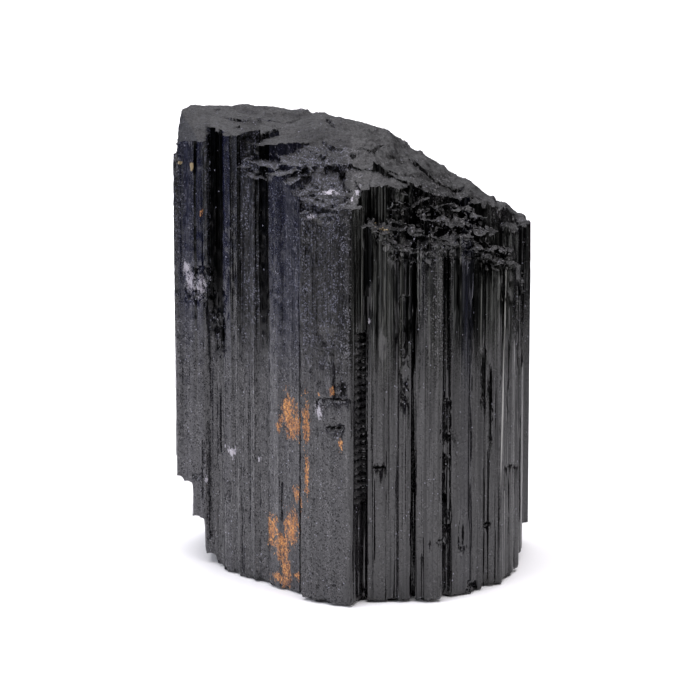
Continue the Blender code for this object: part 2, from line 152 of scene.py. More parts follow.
# Places where the side has chipped away: left, top, right and bottom in the view, depth, and how
# rough the floor of the chip is.
CHIPS = [
    (400, 298, 413, 356, 0.8, 0.1), (441, 400, 450, 527, 0.5, 0.5), (334, 358, 346, 400, 0.7, 0.1),
    (326, 426, 343, 431, 0.6, 0.1), (215, 319, 226, 352, 0.8, 0.1), (519, 278, 528, 360, 0.5, 0.1),
    (373, 466, 388, 469, 0.5, 0.1), (437, 539, 445, 542, 0.5, 0.1), (460, 519, 466, 551, 0.35, 0.3),
    (483, 523, 491, 526, 0.5, 0.1), (506, 465, 521, 467, 0.4, 0.1), (193, 474, 201, 478, 0.5, 0.1),
    (468, 582, 476, 589, 0.6, 0.2), (482, 350, 485, 400, 0.5, 0.1), (489, 370, 492, 435, 0.5, 0.1),
    (186, 268, 212, 300, 0.5, 1.0), (208, 290, 226, 320, 0.4, 1.0), (318, 398, 350, 402, 0.4, 0.2),
    (400, 356, 413, 406, 0.35, 0.8), (318, 576, 350, 604, 0.25, 0.8),
    (320, 330, 337, 366, 0.3, 0.8),
    (305, 222, 322, 260, 0.3, 0.6), (500, 262, 512, 300, 0.3, 0.6),
]

# The ladder of small rungs in the middle groove: left, top, right and bottom in the view, and the
# rungs' spacing and depth in millimetres.
LADDER = (355.5, 333.0, 366.5, 504.0)
RUNG_SPACING = 1.55
RUNG_DEPTH = 0.7

# Colours of the prisms.
BLUE = (0.0035, 0.0045, 0.0190, 1.0)
GREY = (0.0030, 0.0030, 0.0038, 1.0)
BROWN = (0.0045, 0.0038, 0.0040, 1.0)
BLACK = (0.0006, 0.0006, 0.0009, 1.0)
# Painted reflection: a light grey for the upper right rods that look lit because they mirror the
# lamps.
PAINTED_REFLECTION_GREY = (0.0240, 0.0245, 0.0225, 1.0)
LOW_RIGHT_COLOUR = (0.0050, 0.0042, 0.0056, 1.0)
LOW_LEFT_COLOUR = (0.0200, 0.0195, 0.0245, 1.0)
# Painted glints: the next two colours are for light streaks that stand for reflections on the edges
# of the upper right prisms.
PAINTED_GLINT_LINE_COLOUR = (0.115, 0.117, 0.108, 1.0)
PAINTED_GLINT_THREAD_COLOUR = (0.105, 0.106, 0.098, 1.0)
# Painted highlight: the colour of the pale line on the right, which stands for a ridge mirroring a
# lamp.
PAINTED_HIGHLIGHT_COLOUR = (0.42, 0.42, 0.40, 1.0)
# Colours of the break.
HOLLOW_COLOUR = (0.009, 0.009, 0.010, 1.0)
RIM_COLOUR = (0.038, 0.0372, 0.038, 1.0)
# Painted shade for the low parts of the break's bump relief.
PAINTED_CRUMB_SHADE_COLOUR = (0.003, 0.003, 0.004, 1.0)
SLOPE_COLOUR = (0.006, 0.006, 0.007, 1.0)
SPECK_COLOUR = (0.003, 0.003, 0.003, 1.0)
# Painted shade: the bevel facet at the top left is painted darker and bluer than the break around
# it, as its tilt makes it look.
PAINTED_BEVEL_SHADE_COLOUR = (0.006, 0.008, 0.015, 1.0)
# Colours of the pale specks, which are partly real specks and partly painted glints, of the painted
# glints, and of the marks.
DUST_AND_GLINT_COLOUR = (0.120, 0.116, 0.122, 1.0)
BLUE_DUST_AND_GLINT_COLOUR = (0.105, 0.108, 0.150, 1.0)
# Painted glints: a few light specks that stand for tiny facets catching a lamp.
PAINTED_GLINT_COLOUR = (0.16, 0.16, 0.20, 1.0)
STAIN_COLOURS = ((0.22, 0.065, 0.016, 1.0), (0.52, 0.19, 0.036, 1.0), (0.78, 0.40, 0.12, 1.0))
# Colours of the pale spots: white mineral flecks, and painted glints and highlights.
PALE_FLECK_AND_GLINT_COLOURS = ((0.10, 0.10, 0.13, 1.0), (0.85, 0.80, 0.88, 1.0))
FIBRE_COLOUR = (0.55, 0.42, 0.22, 1.0)

# Upright bands of grain on the upper walls: left edge in the view and amount.
GRAIN_BANDS = [
    (173, 0.5), (194, 0.15), (205, 0.9), (210, 0.03), (224, 0.25), (241, 0.9), (260, 0.08),
    (270, 0.35), (286, 0.7), (301, 1.0), (350, 0.05), (415, 0.35), (431, 0.9), (441, 0.5),
    (450, 0.03), (470, 0.15), (484, 0.08), (510, 0.3),
]
# Upright bands of the upper walls: left edge in the view, colour, and how much painted shade blanks
# the band's lit colour and reflection.
LEFT_BANDS = [
    (173, GREY, 0.2), (179, BLUE, 0.1), (194, BLACK, 0.5), (196.5, BLUE, 0.0), (203, GREY, 0.0),
    (205, GREY, 0.0), (209.5, BLACK, 0.95), (223.5, BLUE, 0.05), (230.5, BLACK, 0.6),
    (232, GREY, 0.0), (237, BLACK, 0.75), (241, GREY, 0.4), (259.5, BLACK, 0.9),
    (269.5, BLUE, 0.25), (285.5, BLUE, 0.25), (300, BROWN, 0.2), (337, BROWN, 0.45),
    (345, BROWN, 0.4),
]
RIGHT_BANDS = [
    (347, BROWN, 0.4), (350, PAINTED_REFLECTION_GREY, 0.1), (359.5, PAINTED_REFLECTION_GREY, 0.0), (363.5, BLACK, 0.6),
    (371, PAINTED_REFLECTION_GREY, 0.0), (374.5, BLACK, 0.6), (377, PAINTED_REFLECTION_GREY, 0.0), (379.5, BROWN, 0.2),
    (383.5, PAINTED_REFLECTION_GREY, 0.0), (388.5, BLACK, 0.5), (393, GREY, 0.4), (396, BROWN, 0.2),
    (399, PAINTED_REFLECTION_GREY, 0.0), (402, BLACK, 0.7), (407, GREY, 0.1), (410.5, BLACK, 0.7),
    (416, GREY, 0.05), (430, GREY, 0.2), (433, PAINTED_REFLECTION_GREY, 0.0), (440.5, BLACK, 0.4),
    (446, GREY, 0.1), (449, GREY, 0.1), (453, BLACK, 0.6), (455, BLACK, 0.3), (458, BLUE, 0.3),
    (470, BLACK, 0.85), (484, PAINTED_REFLECTION_GREY, 0.0), (497, BROWN, 0.5), (503, PAINTED_REFLECTION_GREY, 0.0),
    (511, GREY, 0.0), (519, BLACK, 0.7), (528, GREY, 0.3),
]
# Painted glints on the upper right walls: light upright streaks that stand for reflections on prism
# edges. Each has its middle in the view, width in the view and strength.
PAINTED_GLINT_LINES = [
    (361, 1.2, 0.6), (371, 1.4, 0.8), (378, 0.8, 0.4), (383, 1.4, 0.8), (391, 0.9, 0.4),
    (399, 1.3, 0.7), (416, 1.6, 0.8), (427, 1.2, 0.6), (444, 1.0, 0.4), (451.5, 1.0, 0.7),
    (457.5, 1.4, 0.8), (469, 1.0, 0.5), (479, 0.8, 0.7), (486.5, 1.2, 0.5), (497, 1.2, 0.5),
]
# Painted highlight: a pale line on the right that stands for a ridge mirroring a lamp. A place on
# it, how much it leans, and the heights of its ends.
PAINTED_HIGHLIGHT_LINE = (504, 360)
PAINTED_HIGHLIGHT_LEAN = 0.018
PAINTED_HIGHLIGHT_ENDS = ((18.0, 30.0), (64.5, 66.0))

# Spots on the surface. Each has its place in the view, and its half width and half height there.
# Pits and cracks painted black, as painted shade:
PIT_SHADE_SPOTS = [
    (245, 138, 5, 1.8), (252, 136.5, 5, 1.8), (260, 137, 6, 1.8), (268, 134, 5, 1.6),
    (276, 131, 5, 1.5), (334, 429, 9, 1.8), (342.5, 391, 4.5, 9), (333, 400, 15, 1.4),
    (380, 468, 8, 1.6), (441, 541, 4, 1.4), (487, 524, 4, 1.4), (513, 466, 8, 1.5),
    (471.5, 585.5, 4, 3), (483, 375, 1.8, 25), (490.5, 402, 2, 33), (220.5, 334, 4.5, 16),
    (195, 157, 1.6, 15), (353, 156, 4, 2.5), (299, 174, 12, 4), (344, 176, 2.5, 12),
    (445, 430, 3, 6), (446, 462, 3, 8), (444, 500, 3, 7), (409, 330, 3, 14), (463, 535, 1.6, 14),
]
# Orange-brown stains:
STAINS = [
    (289, 416, 9, 20), (296, 424, 8, 14), (287, 408, 7, 14), (291, 428, 8, 10), (306, 420, 4, 27),
    (278, 426, 3, 7), (332, 392, 2, 5), (319, 395, 2, 3), (341, 446, 2, 6), (307, 478, 2.6, 26),
    (296, 494, 4, 8), (300, 506, 2, 8), (272, 531, 9, 20), (291, 527, 9, 19), (283, 545, 8, 18),
    (285, 568, 6, 24), (276, 577, 6, 6), (296, 576, 5, 4), (202, 213, 2.4, 4),
]
# Pale spots, partly white mineral flecks and partly painted glints and highlights:
PALE_FLECKS_AND_GLINTS = [
    (319, 411, 3.5, 9), (190, 281, 5, 14), (201, 287, 7, 12), (232, 452, 5, 6), (259, 459, 2, 3),
    (225, 447, 2, 2), (310, 218, 5, 2), (357, 192, 2, 4), (352, 200, 1.5, 3), (360, 188, 1.5, 2),
    (330, 192.5, 9, 1.0), (369, 322, 2, 4), (207, 480, 2, 4), (186, 268, 4, 8),
]
# Straw-coloured fibres:
FIBRES = [
    (375.5, 226, 1.6, 0.8), (378, 227.2, 1.8, 0.8), (381, 228.6, 1.8, 0.8), (384, 230, 1.8, 0.8),
    (387, 231, 1.8, 0.8), (191.5, 166, 2.2, 4.5), (180, 163, 2.6, 1.6),
]
SPOT_DEPTH = 2.5       # how far a spot reaches into the crystal, in millimetres

# The studio.
TABLE_RADIUS = 0.18
TABLE_STRETCH = 1.12
TABLE_PLACE = (-0.022, 0.0, -0.0002)
FLOOR_SIZE = 6.0
FLOOR_PLACE = (0.0, 0.0, -0.0003)
PURE_WHITE = (1.0, 1.0, 1.0, 1.0)
PURE_BLACK = (0.0, 0.0, 0.0, 1.0)
# Soft lights: name, place, aim, width and height, power and colour.
SOFT_LIGHTS = [
    ("top_light", (0.0, 0.0, 1.1), (0.0, 0.0, 0.0), (1.2, 1.2), 26.0, (0.98, 0.955, 1.0)),
    ("left_light", (-0.9, -0.5, 0.6), (0.0, 0.0, 0.04), (0.6, 0.8), 8.0, (0.90, 0.91, 1.0)),
    ("right_light", (0.9, -0.5, 0.6), (0.0, 0.0, 0.04), (0.6, 0.8), 4.0, (1.0, 0.97, 0.98)),
    ("back_light", (0.0, 1.0, 0.6), (0.0, 0.0, 0.04), (1.0, 0.8), 3.0, (0.95, 0.97, 1.0)),
]
# Dim lights on the floor: name, turn to the right of the front in degrees, start, width,
# brightness and colour.
GLOWS = [
    ("blue_glow", 262.0, 0.226, 0.44, 0.46, (0.72, 0.76, 1.0)),
    ("right_glow", 30.0, 0.186, 0.07, 1.3, (0.96, 0.98, 0.96)),
    ("far_right_glow", 62.0, 0.184, 0.08, 1.1, (0.96, 0.98, 0.98)),
    ("front_glow", 22.0, 0.185, 0.46, 0.25, (0.97, 0.98, 0.97)),
    ("left_glow", -30.0, 0.194, 0.07, 0.5, (0.85, 0.9, 1.0)),
]
GLOW_LENGTH = 0.4
UP = Vector((0.0, 0.0, 1.0))


# ---- patterns on points, in millimetres

def random_at(cells, seed):
    """A fixed random number from 0 to 1 for each whole-numbered cell."""
    mixed = np.full(len(cells), seed * SEED_MIXER + MIX_START, dtype=np.uint64)
    for axis, mixer in zip(range(cells.shape[1]), AXIS_MIXERS):
        mixed = (mixed ^ (cells[:, axis].astype(np.int64) & LAST_32_BITS).astype(np.uint64)) * mixer
        mixed &= np.uint64(LAST_32_BITS)
        mixed ^= mixed >> np.uint64(15)
    mixed = (mixed * np.uint64(LAST_MIXER)) & np.uint64(LAST_32_BITS)
    mixed ^= mixed >> np.uint64(13)
    return mixed.astype(float) / (LAST_32_BITS + 1)


def noise(points, size, seed):
    """Smooth noise from -1 to 1 with bumps of a size along each axis."""
    places = points / np.array(size)
    low = np.floor(places)
    part = places - low
    part = part * part * (3.0 - 2.0 * part)
    total = np.zeros(len(points))
    for corner in itertools.product((0, 1), repeat=points.shape[1]):
        weight = np.prod(np.where(corner, part, 1.0 - part), axis=1)
        total += weight * random_at(low.astype(np.int64) + corner, seed)
    return 2.0 * total - 1.0


def layered_noise(points, size, seed, layers):
    """Noise with finer and weaker layers on it."""
    total = np.zeros(len(points))
    for layer in range(layers):
        total += noise(points, np.array(size) / 2.1 ** layer, seed + layer) * 0.55 ** layer
    return total


def prism_cells(points, size, seed):
    """Each point's upright prism: its cell, the way from its middle and how near its edge is."""
    flat = points[:, :2] / size
    home = np.floor(flat).astype(np.int64)
    nearest = np.full(len(points), np.inf)
    second = nearest.copy()
    cells = home.copy()
    ways = np.zeros_like(flat)
    for step in itertools.product((-1, 0, 1), repeat=2):
        other = home + step
        middle = np.stack([random_at(other, seed), random_at(other, seed + 1)], 1)
        way = flat - (other + 0.1 + 0.8 * middle)
        distance = np.sqrt(np.sum(way * way, axis=1))
        closer = distance < nearest
        second = np.where(closer, nearest, np.minimum(second, distance))
        nearest[closer] = distance[closer]
        cells[closer] = other[closer]
        ways[closer] = way[closer]
    return cells, ways * size, (second - nearest) * size


def smooth(low, high, value):
    """0 below low, 1 above high and smooth between them."""
    part = np.clip((value - low) / (high - low), 0.0, 1.0)
    return part * part * (3.0 - 2.0 * part)


def between(low, high, soft, value):
    """1 from low to high, and 0 outside them, with soft ends."""
    start = smooth(low - soft, low + soft, value)
    return start * (1.0 - smooth(high - soft, high + soft, value))


# ---- places in the view

def to_view(points):
    """Where points lie in the view: across and down, in steps."""
    away = points * MM - np.array(VIEW_TARGET)
    distance = VIEW_DISTANCE - away @ np.array(VIEW_BACK)
    size = VIEW_DISTANCE / VIEW_HALF_WIDTH * HALF_VIEW / distance
    across = HALF_VIEW + away[:, 0] * size
    down = HALF_VIEW - (away @ np.array(VIEW_UP)) * size
    return np.stack([across, down], 1)


class PlainCrystal:
    """The plain solid, to find what lies at a place in the view."""

    def __init__(self, node):
        self.tree = BVHTree.FromPolygons([vert.co for vert in node.data.vertices],
                                         [face.vertices for face in node.data.polygons])

    def seen(self, across, down):
        """The point that shows at a place in the view, in millimetres."""
        eye = VIEW_TARGET + VIEW_BACK * VIEW_DISTANCE
        right = (across - HALF_VIEW) / HALF_VIEW * VIEW_HALF_WIDTH
        up = (HALF_VIEW - down) / HALF_VIEW * VIEW_HALF_WIDTH
        aim = VIEW_TARGET + Vector((right, 0.0, 0.0)) + VIEW_UP * up
        place = self.tree.ray_cast(eye, (aim - eye).normalized())[0]
        return place / MM if place else None


def way_to_line(places, corners):
    """How far each place in the view is from a line through corners."""
    nearest = np.full(len(places), np.inf)
    for start, end in zip(corners, corners[1:]):
        run = end - start
        part = np.clip((places - start) @ run / (run @ run), 0.0, 1.0)
        nearest = np.minimum(nearest, np.hypot(*(places - start - part[:, None] * run).T))
    return nearest


# ---- handling a mesh

def deselect_all():
    """Leave nothing selected and edit mode closed."""
    if bpy.context.mode != "OBJECT":
        bpy.ops.object.mode_set(mode="OBJECT")
    bpy.ops.object.select_all(action="DESELECT")


def make_active(piece):
    """Select one piece alone."""
    deselect_all()
    piece.select_set(True)
    bpy.context.view_layer.objects.active = piece


def copy_of_node(node, name):
    """A copy of a node's mesh as one closed surface."""
    piece = bpy.data.objects.new(name, node.data.copy())
    piece.data.materials.clear()
    bpy.context.scene.collection.objects.link(piece)
    make_active(piece)
    bpy.ops.object.mode_set(mode="EDIT")
    bpy.ops.mesh.select_all(action="SELECT")
    bpy.ops.mesh.remove_doubles(threshold=0.000001)
    bpy.ops.object.mode_set(mode="OBJECT")
    return piece


def join_to(piece, others):
    """Join other pieces' meshes to a piece."""
    make_active(piece)
    for other in others:
        other.select_set(True)
    bpy.ops.object.join()


def read_points(piece):
    """The piece's points in millimetres and its normals."""
    numbers = np.empty((2, len(piece.data.vertices) * 3), dtype=np.float32)
    for name, row in zip(("co", "normal"), numbers):
        piece.data.vertices.foreach_get(name, row)
    points, normals = numbers.reshape(2, -1, 3).astype(float)
    return points / MM, normals


def write_points(piece, points):
    """Put the piece's points back."""
    piece.data.vertices.foreach_set("co", (points * MM).astype(np.float32).ravel())
    piece.data.update()


def remesh(piece, voxel, stretch):
    """Give the piece an even net of small faces, which are taller than they are wide."""
    write_points(piece, read_points(piece)[0] / (1.0, 1.0, stretch))
    make_active(piece)
    piece.data.remesh_voxel_size = voxel
    piece.data.remesh_voxel_adaptivity = 0.0
    bpy.ops.object.voxel_remesh()
    write_points(piece, read_points(piece)[0] * (1.0, 1.0, stretch))


def neighbours(piece):
    """Every point's number beside each of its neighbours' numbers."""
    pairs = np.empty(2 * len(piece.data.edges), dtype=np.int32)
    piece.data.edges.foreach_get("vertices", pairs)
    return np.concatenate([pairs[0::2], pairs[1::2]]), np.concatenate([pairs[1::2], pairs[0::2]])


def soften(piece, weights, times):
    """Smooth the surface as much as each point's weight says."""
    points = read_points(piece)[0]
    ends, others = neighbours(piece)
    count = np.bincount(ends, minlength=len(points))
    for turn in range(times):
        sums = [np.bincount(ends, points[others, axis], len(points)) for axis in range(3)]
        points += weights[:, None] * (np.stack(sums, 1) / count[:, None] - points)
    write_points(piece, points)


def spread_moves(piece, moves, moved, times):
    """Carry moves to the points around the moved ones, so that rims go with their walls."""
    ends, others = neighbours(piece)
    share = moved.astype(float)
    for turn in range(times):
        total = np.bincount(ends, share[others], len(share))
        shares = moves * share[:, None]
        sums = [np.bincount(ends, shares[others, axis], len(share)) for axis in range(3)]
        reached = (total > 0.0) & ~moved
        moves[reached] = (np.stack(sums, 1)[reached] / total[reached][:, None]) * 0.85
        share[reached] = 1.0
    return moves


def keep_in_box(piece, low, high):
    """Hold every point inside the box."""
    write_points(piece, np.clip(read_points(piece)[0], np.array(low) / MM, np.array(high) / MM))


def thin_out(piece, most):
    """Take away faces where the surface is plain."""
    triangles = 2 * len(piece.data.polygons)
    if triangles <= most:
        return
    make_active(piece)
    thinner = piece.modifiers.new("thin_out", "DECIMATE")
    thinner.ratio = most / triangles
    bpy.ops.object.modifier_apply(modifier=thinner.name)


# ---- the broken top

def facing_up(normals):
    """How much each point belongs to the broken top."""
    return smooth(0.30, 0.65, normals[:, 2])


def in_area(places, area):
    """How much each place in the view is inside an area with soft edges."""
    left, right, top, bottom = area
    inside = smooth(*left, places[:, 0]) * (1.0 - smooth(*right, places[:, 0]))
    return inside * smooth(*top, places[:, 1]) * (1.0 - smooth(*bottom, places[:, 1]))


def crumbled(points):
    """How much each point belongs to the rubble, and to the slope."""
    places = to_view(points) + 3.0 * noise(points, (2.0, 2.0, 2.0), 101)[:, None]
    front = points[:, 1] < 2.0
    return in_area(places, RUBBLE_AREA) * front, in_area(places, SLOPE_AREA) * front


def add_grains(plain, outline, count, sizes, seed):
    """Angular grains that lie on the plain crystal inside a box of the view."""
    chance = random.Random(seed)
    left, top, right, bottom = outline
    grains = []
    for number in range(count):
        place = plain.seen(chance.uniform(left, right), chance.uniform(top, bottom))
        if place is None:
            continue
        deselect_all()
        size = chance.uniform(*sizes)
        bpy.ops.mesh.primitive_ico_sphere_add(subdivisions=1, radius=size * MM,
                                              location=place * MM)
        grain = bpy.context.object
        grain.scale = [chance.uniform(0.6, 1.2) for axis in range(3)]
        grain.rotation_euler = Euler([chance.uniform(0.0, math.tau) for axis in range(3)])
        grains.append(grain)
    return grains


def height_over(points, cell):
    """The height of the highest point around each point."""
    places = np.floor(points[:, :2] / cell).astype(np.int64)
    places -= places.min(axis=0) - 1
    heights = np.full(tuple(places.max(axis=0) + 2), -1.0)
    np.maximum.at(heights, (places[:, 0], places[:, 1]), points[:, 2])
    wide = heights.copy()
    for step in itertools.product((-1, 0, 1), repeat=2):
        wide = np.maximum(wide, np.roll(heights, step, (0, 1)))
    return wide[places[:, 0], places[:, 1]]


def terraces(relief, step):
    """Turn smooth relief into level terraces with sharp rims."""
    level = relief / step
    low = np.floor(level)
    return step * (low + 0.25 * (level - low) + 0.75 * smooth(0.6, 1.0, level - low))


def layer_depth(points):
    """How deep the thin layers of the break go: less at the left and in the loose parts."""
    loose = np.maximum(*crumbled(points))
    level = points * (1.0, 1.0, 0.2)
    wild = 0.40 + 0.60 * smooth(-14.0, 4.0, points[:, 0])
    broad = layered_noise(level, (9.0, 5.5, 9.0), 11, 4) * wild * 1.1
    fine = layered_noise(level, (2.6, 1.9, 2.6), 21, 3) * wild
    depth = (0.70 - 0.50 * loose) * terraces(broad, 0.42)
    depth += (0.40 - 0.25 * loose) * terraces(fine, 0.26)
    depth *= 0.4 + 0.6 * smooth(-33.0, -20.0, points[:, 0])
    return depth + 0.13 * layered_noise(points, (0.8, 0.8, 0.8), 41, 2) + 0.05


def lump_height(points):
    """How high the lumps on the back rim stand."""
    height = np.zeros(len(points))
    for middle, rise, width in BACK_LUMPS:
        height += rise * np.exp(-((points[:, 0] - middle) / width) ** 2)
    return height * smooth(1.0, 6.0, points[:, 1])


def crack_depth(points):
    """How deep the cracks go. Their widths are measured on level ground."""
    places = to_view(points)
    ragged = 0.15 * noise(points, (0.7, 0.7, 0.7), 45)
    depth = np.zeros(len(points))
    for corners, width, deep in CRACKS:
        way = way_to_line(places / (1.0, FLATTENING), np.array(corners) / (1.0, FLATTENING))
        depth += deep * (1.0 - smooth(width * 0.3, width * 0.6, way * STEP + ragged))
    return depth


def lump_moves(points, normals):
    """Round lumps on the rubble and the slope, with sharp gaps between them."""
    rubble, slope = crumbled(points)
    lumps = 0.50 - np.abs(noise(points, (1.5, 1.5, 1.4), 102))
    lumps += 0.60 * (0.40 - np.abs(noise(points, (0.7, 0.7, 0.7), 105)))
    return ((rubble * 0.90 + slope * facing_up(normals) * 0.50) * lumps)[:, None] * normals


def bevel_corner(points):
    """Cut the bevel at the top left corner."""
    bevel = points[:, :2] @ np.array(BEVEL_SLOPE) + BEVEL_HEIGHT
    bevel += 0.2 * noise(points, (1.5, 1.5, 1.5), 46)
    corner = (points[:, 0] < BEVEL_LEFT_OF) & (points[:, 2] > BEVEL_BOTTOM)
    points[:, 2] = np.where(corner, np.minimum(points[:, 2], bevel), points[:, 2])


def break_foot(points, normals):
    """Make the undersides of the steps at the left ragged."""
    under = smooth(0.4, 0.8, -normals[:, 2]) * (points[:, 2] > 1.0)
    cells = prism_cells(points, 1.1, 121)[0]
    rise = 0.6 * random_at(cells, 122) ** 2 + 0.25 * np.abs(noise(points, (0.8, 0.8, 0.8), 123))
    points[:, 2] += under * rise


def break_top(piece):
    """Break the top and the undersides of the side steps."""
    points, normals = read_points(piece)
    over = height_over(points, 1.2 * VOXEL / MM)
    up = facing_up(normals)
    chosen = (points[:, 2] > TOP_BOTTOM) & ((up > 0.0) | (over - points[:, 2] < 3.0))
    near = points[chosen]
    drop = layer_depth(near) - lump_height(near) + crack_depth(near)
    points[chosen, 2] = np.minimum(near[:, 2] - up[chosen] * drop, over[chosen] - drop)
    points[chosen] -= lump_moves(points[chosen], normals[chosen])
    bevel_corner(points)
    break_foot(points, normals)
    write_points(piece, points)


def round_off(piece):
    """Take the thin rims off the rubble, the slope and the undersides."""
    points, normals = read_points(piece)
    rubble, slope = crumbled(points)
    high = points[:, 2] > LOOSE_BOTTOM
    soften(piece, high * (rubble * 0.6 + slope * 0.5 * facing_up(np.abs(normals) + 0.2)), 2)
    low = smooth(0.0, 0.3, -normals[:, 2]) * smooth(1.0, 2.0, points[:, 2]) * ~high
    soften(piece, 0.8 * low, 12)


# ---- the sides

def wear_smooth(piece):
    """Smooth the steps at the back of the top and the lower parts of the sides."""
    points, normals = read_points(piece)
    x, y, z = points.T
    back = smooth(5.0, 9.0, y) * smooth(60.0, 64.0, z) * (normals[:, 2] > -0.3)
    side = 1.0 - facing_up(np.abs(normals))
    low = 1.0 - smooth(44.0, 62.0, z + 4.0 * noise(points, (5.0, 5.0, 20.0), 131))
    left = 1.0 - smooth(-5.0, -2.5, x)
    above_foot = smooth(0.5, 1.5, z)
    soften(piece, np.maximum(back, side * low * above_foot * (0.15 + 0.75 * left)), 24)


def rough_side(points):
    """How rough each point of the sides is: the left is grainy and the right is smooth."""
    wander = 2.0 * noise(points, (6.0, 6.0, 30.0), 83)
    return 0.15 + 0.85 * (1.0 - smooth(-3.0, 1.0, points[:, 0] + wander))


def groove_depth(across, down):
    """How deep the grooves go."""
    depth = np.zeros(len(across))
    for middle, top, bottom, width, deep in GROOVES:
        part = 1.0 - smooth(0.3, 1.0, np.abs(across - middle) / width)
        depth = np.maximum(depth, deep * part * between(top - 1, bottom + 1, 3, down))
    return depth


def chip_depth(points, across, down):
    """How deep the chips go. Their outlines are ragged."""
    across = across + 1.6 * noise(points, (1.0, 1.0, 1.6), 92)
    down = down + 3.0 * noise(points, (0.8, 0.8, 1.6), 93)
    grain = layered_noise(points, (0.9, 0.9, 1.3), 94, 2)
    depth = np.zeros(len(points))
    for left, top, right, bottom, deep, rough in CHIPS:
        part = between(left, right, 1, across) * between(top, bottom, 2, down)
        depth = np.maximum(depth, deep * part * (1.0 + rough * grain))
    return depth


def rung_depth(points):
    """How deep the gaps between the ladder's rungs go."""
    wave = points[:, 2] / RUNG_SPACING + 0.25 * noise(points, (1.5, 1.5, 4.0), 95)
    return RUNG_DEPTH * (1.0 - np.abs(np.sin(math.pi * wave))) ** 0.8


def front_dents(points, normals):
    """How deep the grooves, chips and rungs of the front go at each point."""
    facing = normals @ np.array(VIEW_BACK)
    front = (points[:, 1] < 3.0) & (facing > 0.0)
    near = points[front]
    across, down = to_view(near).T
    across = across + 0.8 * noise(near, (4.0, 4.0, 9.0), 91)
    left, top, right, bottom = LADDER
    on_ladder = (across > left) & (across < right) & (down > top) & (down < bottom)
    dent = np.maximum(groove_depth(across, down), chip_depth(near, across, down))
    depth = np.zeros(len(points))
    dent = np.where(on_ladder, rung_depth(near), dent)
    depth[front] = dent * smooth(0.0, 0.2, facing[front])
    return depth


def striation_depth(points, along):
    """How deep the upright ridges, flat strips and gaps of the sides go."""
    depth = np.zeros(len(points))
    for size, step, lean, seed in STRIATIONS:
        cells, ways, edge = prism_cells(points, size, seed)
        above = points[:, 2] > random_at(cells, seed + 2) * 180.0 - 40.0
        first = random_at(cells, seed + 3)
        other = np.where(random_at(cells, seed + 4) > 0.75, random_at(cells, seed + 5), first)
        depth += step * np.where(above, first, other)
        depth += (random_at(cells, seed + 6) - 0.5) * 2 * lean * np.sum(ways * along, axis=1)
        if size > 1.0:
            gap = random_at(cells, seed + 7) > 0.85
            depth += gap * GAP_DEPTH * (1.0 - smooth(0.05, 0.25, edge))
    return depth


def striate_sides(piece):
    """Give the sides upright ridges, dents and a worn foot."""
    points, normals = read_points(piece)
    level = np.hypot(normals[:, 0], normals[:, 1])
    chosen = level > 0.5
    near, near_normals = points[chosen], normals[chosen]
    out = smooth(0.5, 0.8, level[chosen])
    flat = near_normals[:, :2] / level[chosen][:, None]
    depth = striation_depth(near, np.stack([-flat[:, 1], flat[:, 0]], 1))
    depth += rough_side(near) * 0.10 * layered_noise(near, (0.7, 0.7, 1.4), 81, 2)
    foot = 1.0 - smooth(0.0, 1.1, near[:, 2] + 0.6 * noise(near, (1.3, 1.3, 1.3), 84))
    depth = np.maximum(depth, 0.0) + front_dents(near, near_normals) + FOOT_DEPTH * foot
    moves = np.zeros_like(points)
    moves[chosen, :2] = -flat * (depth * out)[:, None]
    moved = np.zeros(len(points), dtype=bool)
    moved[chosen] = out > 0.6
    write_points(piece, points + spread_moves(piece, moves, moved, 4))


def make_crystal(plain):
    """The whole crystal, from its plain solid to its finished surface."""
    piece = copy_of_node(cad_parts["crystal"], "crystal_surface")
    heaps = [add_grains(plain, *heap) for heap in GRAIN_HEAPS]
    join_to(piece, itertools.chain(*heaps))
    remesh(piece, VOXEL, STRETCH)
    wear_smooth(piece)
    break_top(piece)
    round_off(piece)
    striate_sides(piece)
    thin_out(piece, MOST_TRIANGLES)
    low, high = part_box("crystal")
    keep_in_box(piece, low, high)
    make_active(piece)
    bpy.ops.object.shade_smooth_by_angle(angle=SHARP_EDGE)
    return piece


# ---- materials

class Value:
    """A socket's value, which can be used in sums."""

    def __init__(self, look, socket):
        self.look = look
        self.socket = socket

    def joined(self, operation, *values):
        """A Math node on this value and others."""
        return self.look.node("ShaderNodeMath", {"operation": operation}, (self,) + values)

    def __add__(self, other):
        return self.joined("ADD", other)

    def __mul__(self, other):
        return self.joined("MULTIPLY", other)

    def __sub__(self, other):
        return self.joined("SUBTRACT", other)

    def __rsub__(self, other):
        return self.look.node("ShaderNodeMath", {"operation": "SUBTRACT"}, (other, self))

    def step(self, low, high):
        """0 below low, 1 above high and smooth between them. High may be below low."""
        return self.look.node("ShaderNodeMapRange", {"interpolation_type": "SMOOTHSTEP"},
                              {"Value": self, "From Min": low, "From Max": high})


def highest(first, *others):
    """The highest of some values."""
    for other in others:
        first = first.joined("MAXIMUM", other)
    return first


